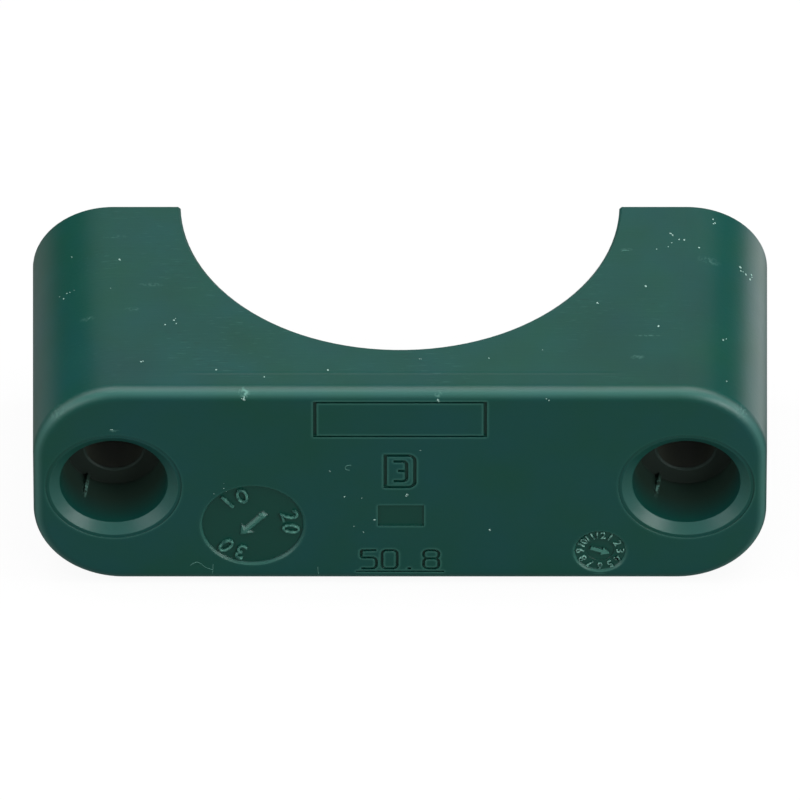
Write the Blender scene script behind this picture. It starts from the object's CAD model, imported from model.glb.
"""Looks of one moulded half of a hydraulic tube clamp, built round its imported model."""

from math import cos, pi, radians, sin
from random import Random
from types import SimpleNamespace

import bmesh
import bpy
from mathutils import Matrix, Vector
from mathutils.bvhtree import BVHTree

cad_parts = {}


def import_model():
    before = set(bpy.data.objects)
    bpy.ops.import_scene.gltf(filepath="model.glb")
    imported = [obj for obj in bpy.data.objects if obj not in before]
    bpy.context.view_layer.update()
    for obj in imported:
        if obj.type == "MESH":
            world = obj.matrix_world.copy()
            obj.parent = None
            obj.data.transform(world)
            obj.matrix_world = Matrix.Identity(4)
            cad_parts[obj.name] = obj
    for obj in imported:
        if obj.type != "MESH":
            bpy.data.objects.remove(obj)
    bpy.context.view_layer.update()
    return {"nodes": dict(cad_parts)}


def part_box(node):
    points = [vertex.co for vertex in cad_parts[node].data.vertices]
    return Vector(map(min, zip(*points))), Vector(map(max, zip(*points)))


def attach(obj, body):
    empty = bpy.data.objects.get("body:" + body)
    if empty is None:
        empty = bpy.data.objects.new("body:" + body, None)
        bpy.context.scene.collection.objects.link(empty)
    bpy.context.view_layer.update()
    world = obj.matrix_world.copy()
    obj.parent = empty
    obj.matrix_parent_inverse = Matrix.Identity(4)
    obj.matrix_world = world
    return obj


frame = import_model()

MM = 0.001
LOW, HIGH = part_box("clamp_half")
CENTRE = (LOW + HIGH) / 2
OUTER_FACE_Y = LOW.y
BODY = frame["nodes"]["clamp_half"]
SKIN = BVHTree.FromPolygons(
    [vertex.co for vertex in BODY.data.vertices], [face.vertices for face in BODY.data.polygons]
)

# Round sunk marks on the outer face, mm: centre is (x, z), reach the radius with the bevel round
# the mark, arrow_reach the radius that holds its arrow, floor the depth of its floor, ring the
# radius that its figures stand on, figure their height, and relief how far they rise
DISC = SimpleNamespace(
    centre=(-17.0, -5.9), reach=6.4, arrow_reach=4.8, floor=0.38, ring=4.35, figure=2.1, relief=0.34
)
DIAL = SimpleNamespace(
    centre=(23.1, -9.9), reach=3.45, arrow_reach=2.0, floor=0.3, ring=2.28, figure=0.95, relief=0.26
)
DISC_NUMBERS = (("10", 118), ("20", 4), ("30", 239))  # degrees from +X, seen on the outer face
DISC_HALF_STEP = 12.5  # degrees from the middle of a number to each of its figures
STROKE_ROUND = 0.07  # round edge of a raised stroke
STROKE_FOOT = 0.04  # how far a raised stroke reaches into the floor under it
CAPITAL_SHARE = 0.7  # height of a figure as a share of the lettering's size

# Depths below the outer face, mm
FACE_LEVEL = 0.02  # as deep as this, a point still counts as the flat face
SHALLOWEST_FLOOR = 0.15  # the marks' sunk floors lie between these two
DEEPEST_FLOOR = 0.45
RAISED_DEPTHS = (0.012, 0.24)  # the marks' bevels and arrows lie between these two

# Bolt pockets, mm: depths are measured from the outer face
BOLT_PITCH = 66.0
LEDGE_REACH = 8.0  # radius that holds the ledge round a pocket's mouth
POCKET_REACH = 6.7  # radius that holds the whole wall of a pocket
POCKET_DEPTH = 7.0
CHAMFER = (6.2, 7.45, 0.1, 1.0)  # inner and outer radius, upper and lower depth
HOLE_RIM = (3.3, 3.62, POCKET_DEPTH - 0.1, POCKET_DEPTH + 0.3)
GRIME_STARTS = 0.9
GRIME_THICKEST = 4.6
GRIME_FADES = POCKET_DEPTH + 5  # down the hole it fades from here to the next depth
GRIME_ENDS = POCKET_DEPTH + 9

# The insert that shapes the outer face ends on the side walls, in a faint V groove, mm
WITNESS_DEPTH = 3.3
WITNESS_HALF_LENGTH = 26.0
WITNESS_FADE = 3.0  # over which it fades out at either end
WITNESS_SLOPE_WIDTH = 0.3
WITNESS_SLOPE = 0.12  # rise over run
INSERT_SKIN_WIDTH = 0.4  # over which the skin turns to that of the insert

# Sizes of the patterns in the plastic, mm
MOTTLE = 9.0
STREAK = (10.0, 0.4, 0.4)  # a long drag mark, along X, Y and Z
DASH = (1.6, 0.2, 0.2)  # a short drag mark
DASH_PATCH = 12.0
CLOUD_BREAK = 5.0
CRUMB = 0.35
MOULD_GRAIN = 0.2
WAVE = 4.0
RUBBED_EDGE = 0.35
BROKEN_EDGE = 0.1
FIGURE_WEAR = 0.5
DUST_TONE = 0.7

# Colours of the plastic and of its worn spots, of soil, dust and lint, and of the paper
SKIN_GREEN = "#02483B"
SKIN_TEAL = "#034845"
DEEP_SKIN = "#022E28"
POLISHED_SKIN = "#004237"
INSERT_SKIN = "#033F34"
PALE_WEAR = "#5E958C"
EDGE_WEAR = "#4E8C7E"
SCUFF_WEAR = "#6FA598"
FIGURE_SKIN = "#16524A"
DISC_FIGURE_WEAR = "#549081"
DIAL_FIGURE_WEAR = "#86BDAF"
WALL_SOIL = "#24382D"
FLOOR_SOIL = "#16190F"
HOLE_SOIL = "#3C3B31"
DUST_TONES = ("#6A978D", "#C2DFD7")
LINT_TONES = ("#356B60", "#6F9E94")
PAPER_WHITE = "#FFFFFF"
PAPER_BOUNCE = "#666666"  # what the paper counts as for the light that it throws back

POLYPROPYLENE_IOR = 1.49

# Duller clouds in the skin of the upper wall, mm: centre, half lengths (x, y, z), and strength
CLOUDS = (
    ((-31.5, -29.0, 14.0), (7.5, 8.0, 6.0), 0.55),
    ((-26.8, -17.5, 14.6), (5.5, 9.0, 6.0), 0.3),
    ((-19.0, -23.5, 14.6), (7.0, 5.0, 6.0), 0.25),
    ((23.5, -23.0, 14.6), (7.0, 13.0, 6.0), 0.4),
    ((32.5, -30.0, 14.0), (10.0, 6.0, 6.0), 0.5),
    ((34.0, -18.0, 14.0), (4.0, 12.0, 6.0), 0.35),
)

# Scuffs where the skin is rubbed pale, mm: centre, half lengths (x, y, z), and strength
SCUFFS = (
    ((-32.9, -33.0, 8.6), (0.7, 1.0, 0.25), 0.4),
    ((-17.9, -32.6, 14.0), (0.75, 1.1, 0.6), 0.8),
    ((4.4, -32.6, 13.9), (0.5, 1.0, 0.4), 0.5),
    ((-39.9, -32.6, 11.9), (1.5, 1.2, 2.2), 0.3),
    ((39.9, -32.6, 11.9), (1.6, 1.2, 2.2), 0.3),
    ((35.6, -9.6, 13.0), (1.7, 0.9, 3.0), 0.22),
    ((-33.0, -5.9, 14.6), (1.6, 0.35, 3.0), 0.14),
    ((-28.7, -14.3, 14.6), (1.7, 0.4, 3.0), 0.14),
    ((26.2, -8.2, 14.6), (0.8, 0.35, 3.0), 0.2),
    ((-36.0, -19.6, 13.6), (1.0, 0.5, 3.0), 0.2),
    ((-30.8, -18.6, 14.6), (1.1, 0.35, 3.0), 0.14),
    ((27.3, -26.9, 14.6), (0.9, 0.5, 3.0), 0.2),
    ((28.5, -23.2, 14.6), (1.9, 0.16, 3.0), 0.25),
    ((-36.2, -28.7, -4.4), (0.55, 2.9, 0.55), 0.75),
    ((29.8, -28.7, -4.4), (0.55, 2.9, 0.55), 0.75),
)

# Dust, mm: (x, y) seen from above or (x, z) seen on the outer face, spread, grains, grain size
WALL_DUST = (
    (-38.3, -14.0, 1.2, 5, 0.08),
    (-37.8, -7.6, 0.6, 2, 0.07),
    (-32.4, -9.8, 0.3, 2, 0.09),
    (-33.4, -14.9, 0.0, 1, 0.08),
    (-26.3, -20.3, 0.8, 4, 0.09),
    (-29.6, -27.7, 0.2, 2, 0.08),
    (-15.6, -30.4, 0.0, 1, 0.09),
    (-21.1, -29.2, 0.1, 2, 0.07),
    (-8.3, -29.2, 0.0, 1, 0.08),
    (2.4, -27.4, 0.4, 2, 0.07),
    (10.2, -27.2, 0.2, 2, 0.07),
    (16.4, -25.7, 0.0, 1, 0.10),
    (22.8, -17.5, 0.5, 2, 0.08),
    (28.4, -14.7, 0.3, 2, 0.10),
    (29.7, -21.5, 0.2, 2, 0.11),
    (31.0, -6.2, 2.6, 9, 0.09),
    (37.6, -22.3, 0.4, 2, 0.11),
    (37.6, -29.3, 0.1, 1, 0.11),
    (40.4, -8.6, 0.9, 7, 0.12),
    (36.0, -3.5, 1.0, 3, 0.09),
)
FACE_DUST = (
    (-6.4, -1.5, 0.1, 2, 0.09),
    (-4.4, -1.7, 0.0, 1, 0.09),
    (-2.9, -5.0, 0.1, 2, 0.10),
    (-5.3, -6.0, 0.0, 1, 0.08),
    (-4.2, -6.9, 0.0, 1, 0.09),
    (-8.1, 2.6, 0.3, 2, 0.06),
    (-20.6, 0.1, 0.9, 4, 0.05),
    (2.3, 5.6, 0.1, 2, 0.07),
    (0.9, -1.3, 0.2, 3, 0.08),
    (10.4, -6.6, 0.2, 2, 0.06),
    (-33.2, 8.7, 0.3, 3, 0.08),
    (-17.9, 13.4, 0.5, 5, 0.11),
    (4.4, 13.2, 0.2, 2, 0.10),
    (16.7, 13.4, 0.3, 2, 0.07),
)

# Fibres, mm: points (x, y) seen from above, or (x, z) seen on the outer face
FIBRE_RADIUS = 0.035
WALL_FIBRES = (((25.6, -8.5), (26.0, -8.2), (26.5, -8.4)),)
FACE_FIBRES = (
    ((-24.2, -12.0), (-23.6, -11.4), (-23.0, -11.7), (-22.5, -12.4), (-21.6, -12.7)),
    ((-21.6, -11.8), (-21.6, -12.7), (-21.7, -13.3)),
    ((-9.5, -12.2), (-9.5, -12.9), (-9.4, -13.3)),
    ((-5.6, 3.3), (-6.0, 3.4), (-6.4, 3.0), (-6.2, 2.6), (-5.8, 2.6)),
)

# Studio, m and degrees. Azimuth 0 is behind the camera, and +90 is +X
FLOOR_HALF_WIDTH = 2.0
FLOOR_SHOWN = 0.93  # the rest of what is seen of the floor is lit paper, which takes the shadow
SURROUND_SHOWN = 0.97
FLOOR_MIRRORED = 0.1  # how bright floor and surround are in the plastic's gloss
SURROUND_MIRRORED = 0.05
SURROUND_LIGHT = 0.02
SOFTBOX_DISTANCE = 0.7
SOFTBOXES = (  # name, azimuth, elevation, width, height, radiance
    ("overhead", 0, 90, 0.5, 0.2, 4.0),
    ("overhead_front", 0, 65, 0.5, 0.2, 2.6),
    ("front", 0, 10, 1.0, 0.3, 0.35),
    ("front_right", 41, 13, 0.37, 0.29, 5.5),
    ("front_left", -45, 12, 0.45, 0.3, 2.1),
    ("right", 85, 20, 0.45, 0.4, 2.3),
    ("left", -85, 20, 0.45, 0.4, 1.6),
    ("upper_right", 90, 60, 0.4, 0.4, 3.6),
    ("upper_left", -90, 60, 0.4, 0.4, 2.7),
    ("back", 177, 43, 0.74, 0.35, 0.57),
    ("back_low", 180, 5, 0.4, 0.16, 4.0),
)
TABLE_CARD_SIZE = (0.33, 0.32)
TABLE_CARD_LIFT = 0.005
TABLE_CARDS = (("right_card", 0.22, 0.15, 1.0), ("left_card", -0.22, 0.15, 0.1))  # x, y, radiance
CAMERA_ELEVATION = 41
CAMERA_DISTANCE = 3.0
FRAMED_LENGTHS = 1.082  # width of the picture, in lengths of the clamp
AIM_DROP = 0.66 * MM  # below the clamp's centre, as the camera sees it


def srgb(hex_colour):
    """An sRGB hex colour as the linear RGBA that the shader takes."""
    channels = [int(hex_colour[i : i + 2], 16) / 255 for i in (1, 3, 5)]
    linear = [c / 12.92 if c <= 0.04045 else ((c + 0.055) / 1.055) ** 2.4 for c in channels]
    return (*linear, 1.0)


def node(tree, kind, inputs=None, **settings):
    """Adds one node: settings are its properties, inputs its values or the sockets linked in."""
    added = tree.nodes.new(kind)
    for name, value in settings.items():
        setattr(added, name, value)
    for socket, value in (inputs or {}).items():
        if isinstance(value, bpy.types.NodeSocket):
            tree.links.new(value, added.inputs[socket])
        else:
            added.inputs[socket].default_value = value
    return added


def new_material(name):
    """An empty material, and the tree that its nodes go into."""
    material = bpy.data.materials.new(name)
    material.use_nodes = True
    material.node_tree.nodes.clear()
    return material, material.node_tree


def in_millimetres(tree):
    """Object coordinates in mm, which every pattern's size is stated in."""
    place = node(tree, "ShaderNodeTexCoord").outputs["Object"]
    return node(tree, "ShaderNodeVectorMath", {0: place, "Scale": 1 / MM}, operation="SCALE").outputs[0]


def lumps(tree, place, size, detail, low, high):
    """Noise with lumps of this size, spread out: 0 up to the low value and 1 from the high one."""
    noise = node(tree, "ShaderNodeTexNoise", {"Vector": place, "Scale": 1 / size, "Detail": detail})
    return node(
        tree, "ShaderNodeMapRange", {"Value": noise.outputs["Fac"], "From Min": low, "From Max": high}
    ).outputs[0]


# ---------------------------------------------------------------- moulded polypropylene


def place_on_clamp(tree):
    """Where a point lies on the clamp, mm, which way its face looks, and which part that is."""
    mm = in_millimetres(tree)
    x, y, z = node(tree, "ShaderNodeSeparateXYZ", {0: mm}).outputs
    depth = node(tree, "ShaderNodeMath", {0: y, 1: -OUTER_FACE_Y / MM}).outputs[0]
    normal = node(tree, "ShaderNodeNewGeometry").outputs["True Normal"]
    facing = node(tree, "ShaderNodeSeparateXYZ", {0: normal}).outputs["Y"]
    side_wall = node(tree, "ShaderNodeMath", {0: facing, 1: -0.1}, operation="GREATER_THAN").outputs[0]
    outer_face = node(tree, "ShaderNodeMath", {0: facing, 1: -0.99}, operation="LESS_THAN").outputs[0]

    # Both bolt axes fold onto one, because the pockets are alike
    off_middle = node(tree, "ShaderNodeMath", {0: x}, operation="ABSOLUTE").outputs[0]
    folded = node(tree, "ShaderNodeCombineXYZ", {"X": off_middle, "Z": z}).outputs[0]
    flat = node(tree, "ShaderNodeCombineXYZ", {"X": x, "Z": z}).outputs[0]
    from_bolt, from_disc, from_dial = (
        node(
            tree, "ShaderNodeVectorMath", {0: seen, 1: (across, 0, up)}, operation="DISTANCE"
        ).outputs["Value"]
        for seen, (across, up) in ((folded, (BOLT_PITCH / 2, 0)), (flat, DISC.centre), (flat, DIAL.centre))
    )
    off_pocket = node(
        tree, "ShaderNodeMath", {0: from_bolt, 1: LEDGE_REACH}, operation="GREATER_THAN"
    ).outputs[0]
    return SimpleNamespace(
        mm=mm,
        z=z,
        depth=depth,
        facing=facing,
        side_wall=side_wall,
        outer_face=outer_face,
        off_middle=off_middle,
        from_bolt=from_bolt,
        from_disc=from_disc,
        from_dial=from_dial,
        off_pocket=off_pocket,
    )


def patch(tree, at, centre, reach, strength, core, fall):
    """A soft patch of the skin: at full strength inside this share of its reach."""
    offset = node(tree, "ShaderNodeVectorMath", {0: at.mm, 1: centre}, operation="SUBTRACT").outputs[0]
    share = node(tree, "ShaderNodeVectorMath", {0: offset, 1: reach}, operation="DIVIDE").outputs[0]
    far = node(tree, "ShaderNodeVectorMath", {0: share}, operation="LENGTH").outputs["Value"]
    return node(
        tree,
        "ShaderNodeMapRange",
        {"Value": far, "From Min": 1.0, "From Max": core, "To Max": strength},
        interpolation_type=fall,
    ).outputs[0]


def flow_mottling(tree, at):
    """The skin's own colour, which wanders a little with the way that the melt flowed."""
    return node(
        tree,
        "ShaderNodeMix",
        {"Factor": lumps(tree, at.mm, MOTTLE, 3.0, 0.3, 0.7), "A": srgb(SKIN_GREEN), "B": srgb(SKIN_TEAL)},
        data_type="RGBA",
    ).outputs["Result"]


def drag_marks(tree, at):
    """Marks where the part slid out of the mould, drawn out along X: long dim streaks, and short
    dashes. The boldest dashes show pale or dark, in patches of the side walls."""
    long, short = (
        node(tree, "ShaderNodeVectorMath", {0: at.mm, 1: size}, operation="DIVIDE").outputs[0]
        for size in (STREAK, DASH)
    )
    streaks = lumps(tree, long, 1.0, 2.0, 0.5, 0.72)
    dashes = node(tree, "ShaderNodeTexNoise", {"Vector": short, "Scale": 1.0, "Detail": 1.0}).outputs["Fac"]
    patches = lumps(tree, at.mm, DASH_PATCH, 1.0, 0.46, 0.62)
    patches = node(tree, "ShaderNodeMath", {0: patches, 1: at.side_wall}, operation="MULTIPLY").outputs[0]
    bold = []
    for low, high in ((0.64, 0.74), (0.35, 0.27)):
        marked = node(
            tree, "ShaderNodeMapRange", {"Value": dashes, "From Min": low, "From Max": high}
        ).outputs[0]
        bold.append(node(tree, "ShaderNodeMath", {0: marked, 1: patches}, operation="MULTIPLY").outputs[0])
    return streaks, dashes, *bold


def dull_clouds(tree, at):
    """Duller clouds in the skin of the upper wall, over a faint unevenness of all side walls."""
    uneven = lumps(tree, at.mm, CLOUD_BREAK, 3.0, 0.35, 0.65)
    clouds = node(tree, "ShaderNodeMath", {0: uneven, 1: 0.22}, operation="MULTIPLY").outputs[0]
    for centre, reach, strength in CLOUDS:
        cloud = patch(tree, at, centre, reach, strength, 0.0, "SMOOTHSTEP")
        clouds = node(tree, "ShaderNodeMath", {0: clouds, 1: cloud}, operation="ADD").outputs[0]
    return node(tree, "ShaderNodeMath", {0: clouds, 1: at.side_wall}, operation="MULTIPLY").outputs[0]


def sunk_floors(tree, at):
    """The floors of the sunk marks, which came off polished inserts."""
    sunk = node(
        tree, "ShaderNodeMapRange", {"Value": at.depth, "From Min": 0.05, "From Max": SHALLOWEST_FLOOR}
    ).outputs[0]
    shallow = node(
        tree, "ShaderNodeMath", {0: at.depth, 1: DEEPEST_FLOOR}, operation="LESS_THAN"
    ).outputs[0]
    for limit in (shallow, at.outer_face, at.off_pocket):
        sunk = node(tree, "ShaderNodeMath", {0: sunk, 1: limit}, operation="MULTIPLY").outputs[0]
    return sunk


def dusty_dial(tree, at, floors):
    """The floor of the dial, where dust has settled."""
    inside = node(
        tree, "ShaderNodeMath", {0: at.from_dial, 1: DIAL.reach}, operation="LESS_THAN"
    ).outputs[0]
    return node(tree, "ShaderNodeMath", {0: inside, 1: floors}, operation="MULTIPLY").outputs[0]


def rubbed_marks(tree, at):
    """The bevels of the disc and of the dial are rubbed pale, and their arrows paler still."""
    raised = 0.0
    for away, reach, share in (
        (at.from_disc, DISC.reach, 0.24),
        (at.from_disc, DISC.arrow_reach, 0.5),
        (at.from_dial, DIAL.reach, 0.34),
        (at.from_dial, DIAL.arrow_reach, 0.75),
    ):
        inside = node(tree, "ShaderNodeMath", {0: away, 1: reach}, operation="LESS_THAN").outputs[0]
        inside = node(tree, "ShaderNodeMath", {0: inside, 1: share}, operation="MULTIPLY").outputs[0]
        raised = node(tree, "ShaderNodeMath", {0: raised, 1: inside}, operation="MAXIMUM").outputs[0]
    for limit, side in zip(RAISED_DEPTHS, ("GREATER_THAN", "LESS_THAN")):
        level = node(tree, "ShaderNodeMath", {0: at.depth, 1: limit}, operation=side).outputs[0]
        raised = node(tree, "ShaderNodeMath", {0: raised, 1: level}, operation="MULTIPLY").outputs[0]
    return raised


def rubbed_edges(tree, at):
    """The sharp edges of the sunk marks are rubbed pale too, where little plastic lies behind;
    round a pocket only the lower half, which the washer touches."""
    backing = node(
        tree,
        "ShaderNodeAmbientOcclusion",
        {"Distance": RUBBED_EDGE * MM},
        inside=True,
        only_local=True,
        samples=8,
    ).outputs["AO"]
    edge = node(
        tree, "ShaderNodeMapRange", {"Value": backing, "From Min": 0.97, "From Max": 0.75}
    ).outputs[0]
    on_face = node(tree, "ShaderNodeMath", {0: at.depth, 1: FACE_LEVEL}, operation="LESS_THAN").outputs[0]
    lower = node(
        tree, "ShaderNodeMapRange", {"Value": at.z, "From Min": 2.0, "From Max": -2.0}
    ).outputs[0]
    lower = node(tree, "ShaderNodeMath", {0: lower, 1: at.off_pocket}, operation="MAXIMUM").outputs[0]
    for limit in (on_face, at.outer_face, lower):
        edge = node(tree, "ShaderNodeMath", {0: edge, 1: limit}, operation="MULTIPLY").outputs[0]
    return edge


def pocket_grime(tree, at):
    """Grime on the walls of the bolt pockets, thicker towards their floors, and its colour, which
    is darkest where it is packed on the floor. Farther down the hole the plastic is clean."""
    grime = node(
        tree,
        "ShaderNodeMapRange",
        {"Value": at.depth, "From Min": GRIME_STARTS, "From Max": GRIME_THICKEST, "To Max": 0.85},
    ).outputs[0]
    in_pocket = node(
        tree, "ShaderNodeMath", {0: at.from_bolt, 1: POCKET_REACH}, operation="LESS_THAN"
    ).outputs[0]
    clean_again = node(
        tree, "ShaderNodeMapRange", {"Value": at.depth, "From Min": GRIME_ENDS, "From Max": GRIME_FADES}
    ).outputs[0]
    for limit in (in_pocket, clean_again):
        grime = node(tree, "ShaderNodeMath", {0: grime, 1: limit}, operation="MULTIPLY").outputs[0]
    soil = srgb(WALL_SOIL)
    for start, end, tint in (
        (POCKET_DEPTH - 0.5, POCKET_DEPTH, FLOOR_SOIL),
        (POCKET_DEPTH + 0.1, POCKET_DEPTH + 0.5, HOLE_SOIL),
    ):
        deeper = node(
            tree, "ShaderNodeMapRange", {"Value": at.depth, "From Min": start, "From Max": end}
        ).outputs[0]
        soil = node(
            tree, "ShaderNodeMix", {"Factor": deeper, "A": soil, "B": srgb(tint)}, data_type="RGBA"
        ).outputs["Result"]
    return grime, soil


def bolt_wear(tree, at, inner, outer, top, bottom):
    """A ring of the pocket that bolt or washer rubs, more so on its lower half."""
    worn = node(
        tree, "ShaderNodeMapRange", {"Value": at.z, "From Min": 4.0, "From Max": -2.0}
    ).outputs[0]
    for value, limit, side in (
        (at.from_bolt, inner, "GREATER_THAN"),
        (at.from_bolt, outer, "LESS_THAN"),
        (at.depth, top, "GREATER_THAN"),
        (at.depth, bottom, "LESS_THAN"),
    ):
        inside = node(tree, "ShaderNodeMath", {0: value, 1: limit}, operation=side).outputs[0]
        worn = node(tree, "ShaderNodeMath", {0: worn, 1: inside}, operation="MULTIPLY").outputs[0]
    return worn


def handled_round(tree, at):
    """The round along the edge of the outer face, which hands have rubbed."""
    handled = node(
        tree, "ShaderNodeMapRange", {"Value": at.depth, "From Min": FACE_LEVEL, "From Max": 0.3}
    ).outputs[0]
    fading = node(
        tree, "ShaderNodeMapRange", {"Value": at.depth, "From Min": 0.9, "From Max": 0.5}
    ).outputs[0]
    leans = node(tree, "ShaderNodeMath", {0: at.facing, 1: -0.3}, operation="LESS_THAN").outputs[0]
    off_flat = node(tree, "ShaderNodeMath", {0: 1.0, 1: at.outer_face}, operation="SUBTRACT").outputs[0]
    off_disc, off_dial = (
        node(tree, "ShaderNodeMath", {0: away, 1: reach}, operation="GREATER_THAN").outputs[0]
        for away, reach in ((at.from_disc, DISC.reach), (at.from_dial, DIAL.reach))
    )
    for limit in (fading, leans, off_flat, at.off_pocket, off_disc, off_dial):
        handled = node(tree, "ShaderNodeMath", {0: handled, 1: limit}, operation="MULTIPLY").outputs[0]
    return handled


def scuffs(tree, at):
    """Rubbed spots, broken up into crumbs."""
    rubbed = 0.0
    for centre, reach, strength in SCUFFS:
        spot = patch(tree, at, centre, reach, strength, 0.4, "LINEAR")
        rubbed = node(tree, "ShaderNodeMath", {0: rubbed, 1: spot}, operation="MAXIMUM").outputs[0]
    crumbs = lumps(tree, at.mm, CRUMB, 2.0, 0.45, 0.6)
    return node(tree, "ShaderNodeMath", {0: rubbed, 1: crumbs}, operation="MULTIPLY").outputs[0]


def witness_line(tree, at):
    """Where the insert ended on the side walls: the height of a V groove with two even slopes,
    in mm, and the skin that the insert shaped."""
    across = node(tree, "ShaderNodeMath", {0: at.depth, 1: -WITNESS_DEPTH}).outputs[0]
    across = node(tree, "ShaderNodeMath", {0: across}, operation="ABSOLUTE").outputs[0]
    groove = node(
        tree,
        "ShaderNodeMapRange",
        {
            "Value": across,
            "From Max": WITNESS_SLOPE_WIDTH,
            "To Min": -WITNESS_SLOPE * WITNESS_SLOPE_WIDTH,
            "To Max": 0.0,
        },
    ).outputs[0]
    insert_skin = node(
        tree,
        "ShaderNodeMapRange",
        {"Value": at.depth, "From Min": WITNESS_DEPTH, "From Max": WITNESS_DEPTH - INSERT_SKIN_WIDTH},
    ).outputs[0]
    fading = node(
        tree,
        "ShaderNodeMapRange",
        {
            "Value": at.off_middle,
            "From Min": WITNESS_HALF_LENGTH,
            "From Max": WITNESS_HALF_LENGTH - WITNESS_FADE,
        },
    ).outputs[0]
    groove = node(tree, "ShaderNodeMath", {0: groove, 1: fading}, operation="MULTIPLY").outputs[0]
    for limit in (fading, at.side_wall):
        insert_skin = node(
            tree, "ShaderNodeMath", {0: insert_skin, 1: limit}, operation="MULTIPLY"
        ).outputs[0]
    return groove, insert_skin


def skin_relief(tree, at, groove, streaks, dashes):
    """The slow waviness of the skin, and its normal: the waviness, the grain left by the mould,
    the drag marks and the witness groove are heights in mm, and every edge that the mould left
    sharp is broken a little."""
    grain, waves = (
        node(
            tree, "ShaderNodeTexNoise", {"Vector": at.mm, "Scale": 1 / size, "Detail": detail}
        ).outputs["Fac"]
        for size, detail in ((MOULD_GRAIN, 1.0), (WAVE, 2.0))
    )
    height = groove
    for layer, rise in ((grain, 0.003), (waves, 0.012), (streaks, 0.003), (dashes, 0.003)):
        height = node(
            tree, "ShaderNodeMath", {0: layer, 1: rise, 2: height}, operation="MULTIPLY_ADD"
        ).outputs[0]
    broken_edge = node(tree, "ShaderNodeBevel", {"Radius": BROKEN_EDGE * MM}, samples=4).outputs["Normal"]
    bump = node(
        tree, "ShaderNodeBump", {"Height": height, "Distance": MM, "Normal": broken_edge}
    ).outputs["Normal"]
    return waves, bump


def moulded_polypropylene():
    """Dark green polypropylene, injection moulded: a deep colour under a satin skin, with faint
    flow mottling, drag marks along the side walls, a fine grain left by the mould, polished
    sunk floors, grime in the bolt pockets and pale rubbed spots."""
    material, tree = new_material("moulded_polypropylene")
    at = place_on_clamp(tree)
    streaks, dashes, pale_dashes, dark_dashes = drag_marks(tree, at)
    floors = sunk_floors(tree, at)
    grime, soil = pocket_grime(tree, at)
    scuffed = scuffs(tree, at)
    groove, insert_skin = witness_line(tree, at)

    # What lies over the skin's own colour, from the bottom up, how strongly, and its tint
    colour = flow_mottling(tree, at)
    for cover, strength, tint in (
        (pale_dashes, 0.13, srgb(PALE_WEAR)),
        (dark_dashes, 0.3, srgb(DEEP_SKIN)),
        (dull_clouds(tree, at), 0.5, srgb(DEEP_SKIN)),
        (floors, 1.0, srgb(POLISHED_SKIN)),
        (dusty_dial(tree, at, floors), 0.03, srgb(PALE_WEAR)),
        (rubbed_marks(tree, at), 1.0, srgb(EDGE_WEAR)),
        (rubbed_edges(tree, at), 0.26, srgb(EDGE_WEAR)),
        (grime, 1.0, soil),
        (bolt_wear(tree, at, *CHAMFER), 0.17, srgb(PALE_WEAR)),
        (bolt_wear(tree, at, *HOLE_RIM), 0.045, srgb(PALE_WEAR)),
        (handled_round(tree, at), 0.3, srgb(PALE_WEAR)),
        (scuffed, 1.0, srgb(SCUFF_WEAR)),
        (insert_skin, 0.16, srgb(INSERT_SKIN)),
    ):
        share = node(tree, "ShaderNodeMath", {0: cover, 1: strength}, operation="MULTIPLY").outputs[0]
        colour = node(
            tree, "ShaderNodeMix", {"Factor": share, "A": colour, "B": tint}, data_type="RGBA"
        ).outputs["Result"]

    # Satin where the skin is whole, duller where it is scuffed or dirty
    waves, bump = skin_relief(tree, at, groove, streaks, dashes)
    roughness = node(
        tree, "ShaderNodeMapRange", {"Value": waves, "To Min": 0.35, "To Max": 0.41}
    ).outputs[0]
    for layer, rise in ((scuffed, 0.4), (grime, 0.3)):
        roughness = node(
            tree, "ShaderNodeMath", {0: layer, 1: rise, 2: roughness}, operation="MULTIPLY_ADD"
        ).outputs[0]
    surface = node(
        tree,
        "ShaderNodeBsdfPrincipled",
        {"Base Color": colour, "Roughness": roughness, "IOR": POLYPROPYLENE_IOR, "Normal": bump},
    )
    node(tree, "ShaderNodeOutputMaterial", {"Surface": surface.outputs[0]})
    return material


# ---------------------------------------------------------------- other materials


def rubbed_polypropylene(name, palest):
    """The same plastic on the raised figures, whose tops are rubbed pale and dull."""
    material, tree = new_material(name)
    wear = lumps(tree, in_millimetres(tree), FIGURE_WEAR, 2.0, 0.35, 0.65)
    colour = node(
        tree,
        "ShaderNodeMix",
        {"Factor": wear, "A": srgb(FIGURE_SKIN), "B": srgb(palest)},
        data_type="RGBA",
    ).outputs["Result"]
    bump = node(tree, "ShaderNodeBump", {"Height": wear, "Distance": 0.01 * MM}).outputs["Normal"]
    surface = node(
        tree,
        "ShaderNodeBsdfPrincipled",
        {"Base Color": colour, "Roughness": 0.45, "IOR": POLYPROPYLENE_IOR, "Normal": bump},
    )
    node(tree, "ShaderNodeOutputMaterial", {"Surface": surface.outputs[0]})
    return material


def house_dust(name, deepest, palest):
    """House dust and lint: dry and matt, each grain a little different in tone."""
    material, tree = new_material(name)
    tone = node(
        tree, "ShaderNodeTexNoise", {"Vector": in_millimetres(tree), "Scale": 1 / DUST_TONE}
    ).outputs["Fac"]
    colour = node(
        tree,
        "ShaderNodeMix",
        {"Factor": tone, "A": srgb(deepest), "B": srgb(palest)},
        data_type="RGBA",
    ).outputs["Result"]
    surface = node(
        tree,
        "ShaderNodeBsdfPrincipled",
        {"Base Color": colour, "Roughness": 0.9, "Specular IOR Level": 0.2},
    )
    node(tree, "ShaderNodeOutputMaterial", {"Surface": surface.outputs[0]})
    return material


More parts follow.
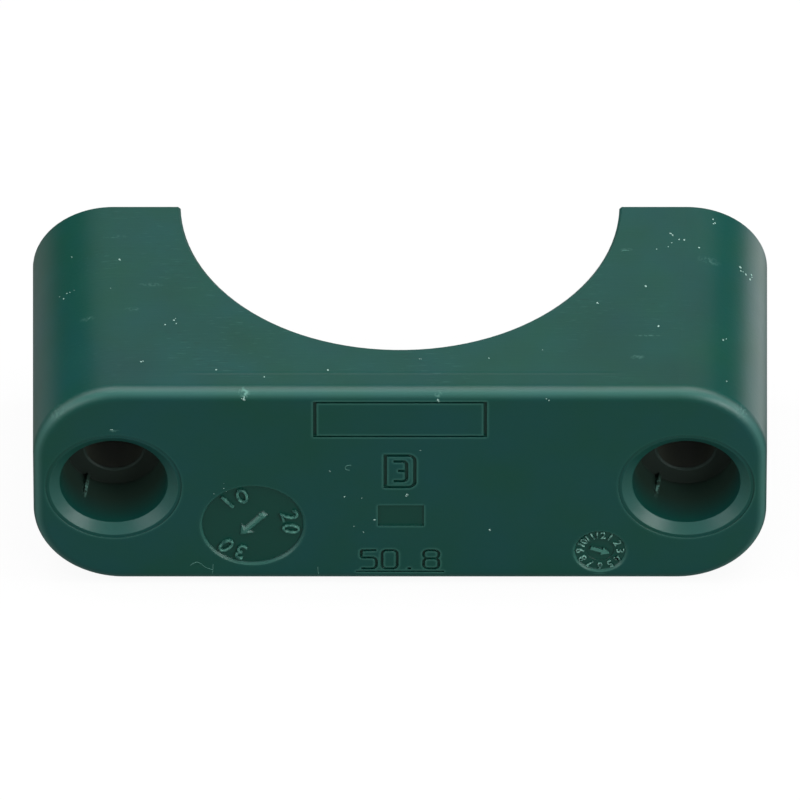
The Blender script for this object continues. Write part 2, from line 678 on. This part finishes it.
def shown_glow(tree, shown, mirrored):
    """Which rays look at the studio straight or through glass, and the share of a white glow
    that a ray meets there: one for those rays, and a smaller one for the reflections in gloss."""
    ray = node(tree, "ShaderNodeLightPath").outputs
    looking = node(
        tree,
        "ShaderNodeMath",
        {0: ray["Is Camera Ray"], 1: ray["Is Transmission Ray"]},
        operation="MAXIMUM",
    ).outputs[0]
    straight, in_gloss = (
        node(tree, "ShaderNodeMath", {0: rays, 1: share}, operation="MULTIPLY").outputs[0]
        for rays, share in ((looking, shown), (ray["Is Glossy Ray"], mirrored))
    )
    glow = node(tree, "ShaderNodeMath", {0: straight, 1: in_gloss}, operation="MAXIMUM").outputs[0]
    return looking, glow


def matte_sweep():
    """Studio paper: plain diffuse, shown white, with a share left for the clamp's shadow, and
    grey for the light that it throws back on the clamp."""
    material, tree = new_material("matte_sweep")
    looking, glow = shown_glow(tree, FLOOR_SHOWN, FLOOR_MIRRORED)
    tone = node(
        tree,
        "ShaderNodeMix",
        {"Factor": looking, "A": srgb(PAPER_BOUNCE), "B": srgb(PAPER_WHITE)},
        data_type="RGBA",
    ).outputs["Result"]
    paper = node(tree, "ShaderNodeBsdfDiffuse", {"Color": tone})
    white = node(tree, "ShaderNodeEmission", {"Strength": 1.0})
    mix = node(tree, "ShaderNodeMixShader", {0: glow, 1: paper.outputs[0], 2: white.outputs[0]})
    node(tree, "ShaderNodeOutputMaterial", {"Surface": mix.outputs[0]})
    return material


# ---------------------------------------------------------------- pieces


def put(name, data):
    """A new object of the scene, at the origin."""
    placed = bpy.data.objects.new(name, data)
    bpy.context.scene.collection.objects.link(placed)
    return placed


def add_piece(name, mesh, material):
    """A mesh in place becomes a piece of the clamp."""
    mesh.materials.clear()
    mesh.materials.append(material)
    piece = put(name, mesh)
    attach(piece, "root")


def mesh_of(name, curve):
    """The mesh of a text or of a curve."""
    holder = put(name + "_curve", curve)
    bpy.context.view_layer.update()
    mesh = bpy.data.meshes.new_from_object(holder.evaluated_get(bpy.context.evaluated_depsgraph_get()))
    mesh.name = name
    bpy.data.objects.remove(holder)
    return mesh


def touch(across, along, from_above):
    """Where the skin is met at (x, y) from above, or at (x, z) on the outer face, in mm, and the
    way that it faces there."""
    far_off = 1000
    if from_above:
        start, aim = Vector((across, along, far_off)), Vector((0, 0, -1))
    else:
        start, aim = Vector((across, -far_off, along)), Vector((0, 1, 0))
    hit, normal, _, _ = SKIN.ray_cast(start * MM, aim)
    return hit, normal


def raised_figure(name, figure, mark, angle, material):
    """A plain raised figure on the floor of a mark, its top away from the mark's middle."""
    half = (mark.relief + STROKE_FOOT) / 2
    curve = bpy.data.curves.new(name, "FONT")
    curve.body = figure
    curve.size = mark.figure / CAPITAL_SHARE * MM
    curve.align_x = "CENTER"
    curve.align_y = "CENTER"
    curve.bevel_depth = STROKE_ROUND * MM
    curve.offset = -STROKE_ROUND * MM
    curve.bevel_resolution = 1
    curve.extrude = (half - STROKE_ROUND) * MM
    curve.resolution_u = 3
    mesh = mesh_of(name, curve)
    x = mark.centre[0] + mark.ring * cos(radians(angle))
    z = mark.centre[1] + mark.ring * sin(radians(angle))
    depth = OUTER_FACE_Y + (mark.floor - mark.relief + half) * MM
    turn = Matrix.Rotation(radians(angle - 90), 4, "Z")
    face_out = Matrix.Rotation(radians(90), 4, "X")
    mesh.transform(Matrix.Translation((x * MM, depth, z * MM)) @ face_out @ turn)
    add_piece(name, mesh, material)


def disc_figures(material):
    """Three plain numbers round the material disc, each figure standing on its own radius."""
    for number, middle in DISC_NUMBERS:
        for figure, angle in zip(number, (middle + DISC_HALF_STEP, middle - DISC_HALF_STEP)):
            raised_figure(f"disc_figure_{number}_{figure}", figure, DISC, angle, material)


def dial_figures(material):
    """The numbers 1 to 12 round the date dial."""
    for month in range(1, 13):
        raised_figure(f"dial_figure_{month}", str(month), DIAL, 90 - 30 * month, material)


def fibres(material):
    """Fine fibres that cling to the clamp."""
    curve = bpy.data.curves.new("fibres", "CURVE")
    curve.dimensions = "3D"
    curve.bevel_depth = FIBRE_RADIUS * MM
    curve.bevel_resolution = 1
    for routes, from_above in ((FACE_FIBRES, False), (WALL_FIBRES, True)):
        for route in routes:
            spline = curve.splines.new("NURBS")
            spline.points.add(len(route) - 1)
            for point, (across, along) in zip(spline.points, route):
                hit, _ = touch(across, along, from_above)
                point.co = (*hit, 1)
            spline.order_u = 3
            spline.use_endpoint_u = True
    add_piece("fibres", mesh_of("fibres", curve), material)


def dust(name, patches, from_above, material):
    """Grains of dust strewn in patches over the upper wall or over the outer face."""
    pick = Random(7)
    shape = bmesh.new()
    for across, along, spread, count, size in patches:
        for _ in range(count):
            a = across + pick.gauss(0, 0.5) * spread
            b = along + pick.gauss(0, 0.5) * spread
            hit, normal = touch(a, b, from_above)
            if hit is None:
                continue
            radius = size * pick.uniform(0.8, 1.7) * MM
            grain = bmesh.ops.create_icosphere(shape, subdivisions=1, radius=radius)["verts"]
            stretch = (pick.uniform(0.7, 1.4), pick.uniform(0.6, 1.0), 0.5)
            bmesh.ops.scale(shape, vec=stretch, verts=grain)
            spin = Matrix.Rotation(pick.uniform(0, 2 * pi), 4, "Z")
            stand = normal.to_track_quat("Z", "Y").to_matrix().to_4x4()
            bmesh.ops.transform(shape, matrix=Matrix.Translation(hit) @ stand @ spin, verts=grain)
    mesh = bpy.data.meshes.new(name)
    shape.to_mesh(mesh)
    shape.free()
    add_piece(name, mesh, material)


# ---------------------------------------------------------------- studio


def floor_plane(material):
    """A wide paper floor at the height that the clamp lies on."""
    shape = bmesh.new()
    bmesh.ops.create_grid(shape, x_segments=1, y_segments=1, size=FLOOR_HALF_WIDTH)
    bmesh.ops.translate(shape, vec=(0, 0, LOW.z), verts=shape.verts)
    mesh = bpy.data.meshes.new("paper_floor")
    shape.to_mesh(mesh)
    shape.free()
    mesh.materials.append(material)
    put("paper_floor", mesh)


def area_lamp(name, width, height, radiance):
    """A rectangular lamp that the camera doesn't see, still to be placed."""
    light = bpy.data.lights.new(name, "AREA")
    light.shape = "RECTANGLE"
    light.size = width
    light.size_y = height
    light.energy = radiance * pi * width * height
    lamp = put(name, light)
    lamp.visible_camera = False
    return lamp


def softboxes():
    """Softboxes on all sides of the clamp, each aimed at its centre."""
    for name, azimuth, elevation, width, height, radiance in SOFTBOXES:
        lamp = area_lamp(name, width, height, radiance)
        level, rise = radians(azimuth), radians(elevation)
        towards = Vector((sin(level) * cos(rise), -cos(level) * cos(rise), sin(rise)))
        lamp.location = CENTRE + towards * SOFTBOX_DISTANCE
        lamp.rotation_euler = towards.to_track_quat("Z", "Y").to_euler()


def table_cards():
    """Glowing cards that lie on the floor beside the clamp and light its ends."""
    for name, x, y, radiance in TABLE_CARDS:
        card = area_lamp(name, *TABLE_CARD_SIZE, radiance)
        card.location = (x, y, LOW.z + TABLE_CARD_LIFT)
        card.rotation_euler = (pi, 0, 0)


def camera():
    """A long lens from well above the floor, square on to the outer face."""
    elevation = radians(CAMERA_ELEVATION)
    lens = bpy.data.cameras.new("camera")
    lens.sensor_width = 36
    near_distance = CAMERA_DISTANCE - (CENTRE.y - LOW.y) * cos(elevation)
    lens.lens = lens.sensor_width * near_distance / (FRAMED_LENGTHS * (HIGH.x - LOW.x))
    lens.clip_end = 20
    view = put("camera", lens)
    back = Vector((0, -cos(elevation), sin(elevation)))
    up = Vector((0, sin(elevation), cos(elevation)))
    view.location = CENTRE - AIM_DROP * up + back * CAMERA_DISTANCE
    view.rotation_euler = back.to_track_quat("Z", "Y").to_euler()
    bpy.context.scene.camera = view


def world():
    """A surround as white as the paper, which gives the clamp next to no light."""
    surround = bpy.data.worlds.new("studio_surround")
    surround.use_nodes = True
    tree = surround.node_tree
    tree.nodes.clear()
    _, glow = shown_glow(tree, SURROUND_SHOWN, SURROUND_MIRRORED)
    strength = node(tree, "ShaderNodeMath", {0: glow, 1: SURROUND_LIGHT}, operation="MAXIMUM").outputs[0]
    white = node(tree, "ShaderNodeBackground", {"Color": (1, 1, 1, 1), "Strength": strength})
    node(tree, "ShaderNodeOutputWorld", {"Surface": white.outputs[0]})
    bpy.context.scene.world = surround


plastic = moulded_polypropylene()
for slot in BODY.material_slots:
    slot.material = plastic
disc_figures(rubbed_polypropylene("rubbed_polypropylene", DISC_FIGURE_WEAR))
dial_figures(rubbed_polypropylene("polished_polypropylene", DIAL_FIGURE_WEAR))
grains = house_dust("house_dust", *DUST_TONES)
fibres(house_dust("green_lint", *LINT_TONES))
dust("dust_on_wall", WALL_DUST, True, grains)
dust("dust_on_face", FACE_DUST, False, grains)

floor_plane(matte_sweep())
softboxes()
table_cards()
camera()
world()
bpy.context.scene.view_settings.view_transform = "Standard"
